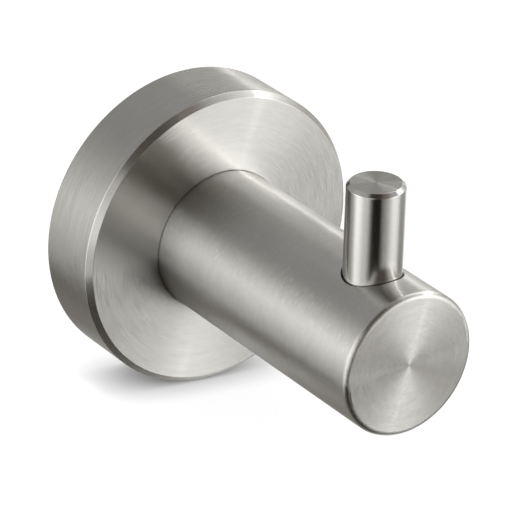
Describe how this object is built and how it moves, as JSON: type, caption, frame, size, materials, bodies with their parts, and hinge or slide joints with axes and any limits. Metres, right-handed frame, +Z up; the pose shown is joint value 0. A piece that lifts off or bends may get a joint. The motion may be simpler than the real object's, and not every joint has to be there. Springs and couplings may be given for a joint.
{
  "type": "robe hook",
  "caption": "Wall-mounted robe hook: a round chamfered rosette carries a thick horizontal post with an upright peg near its end, held by a hidden bracket.",
  "frame": {"origin": "on the post's axis at the wall plane, midway between the two wall screw holes", "axes": "+Y into the wall, so the post stands out towards -Y; +Z up, along the peg; +X to the right seen from the front"},
  "size_m": [0.055, 0.068, 0.0565],
  "materials": {
    "satin_steel": "satin, turned and brushed round the axis",
    "satin_steel_post": "satin, brushed round the post, turned end face",
    "polished_steel": "finely polished",
    "fastener_steel": "machined",
    "spring_steel": "dull",
    "plated_steel": "zinc plated, turned"
  },
  "bodies": {
    "root": {"flange_cover": "satin_steel", "post": "satin_steel_post", "peg": "polished_steel", "post_screw": "fastener_steel", "lock_washer": "spring_steel", "wall_bracket": "plated_steel", "set_screw": "fastener_steel"}
  },
  "joints": []
}
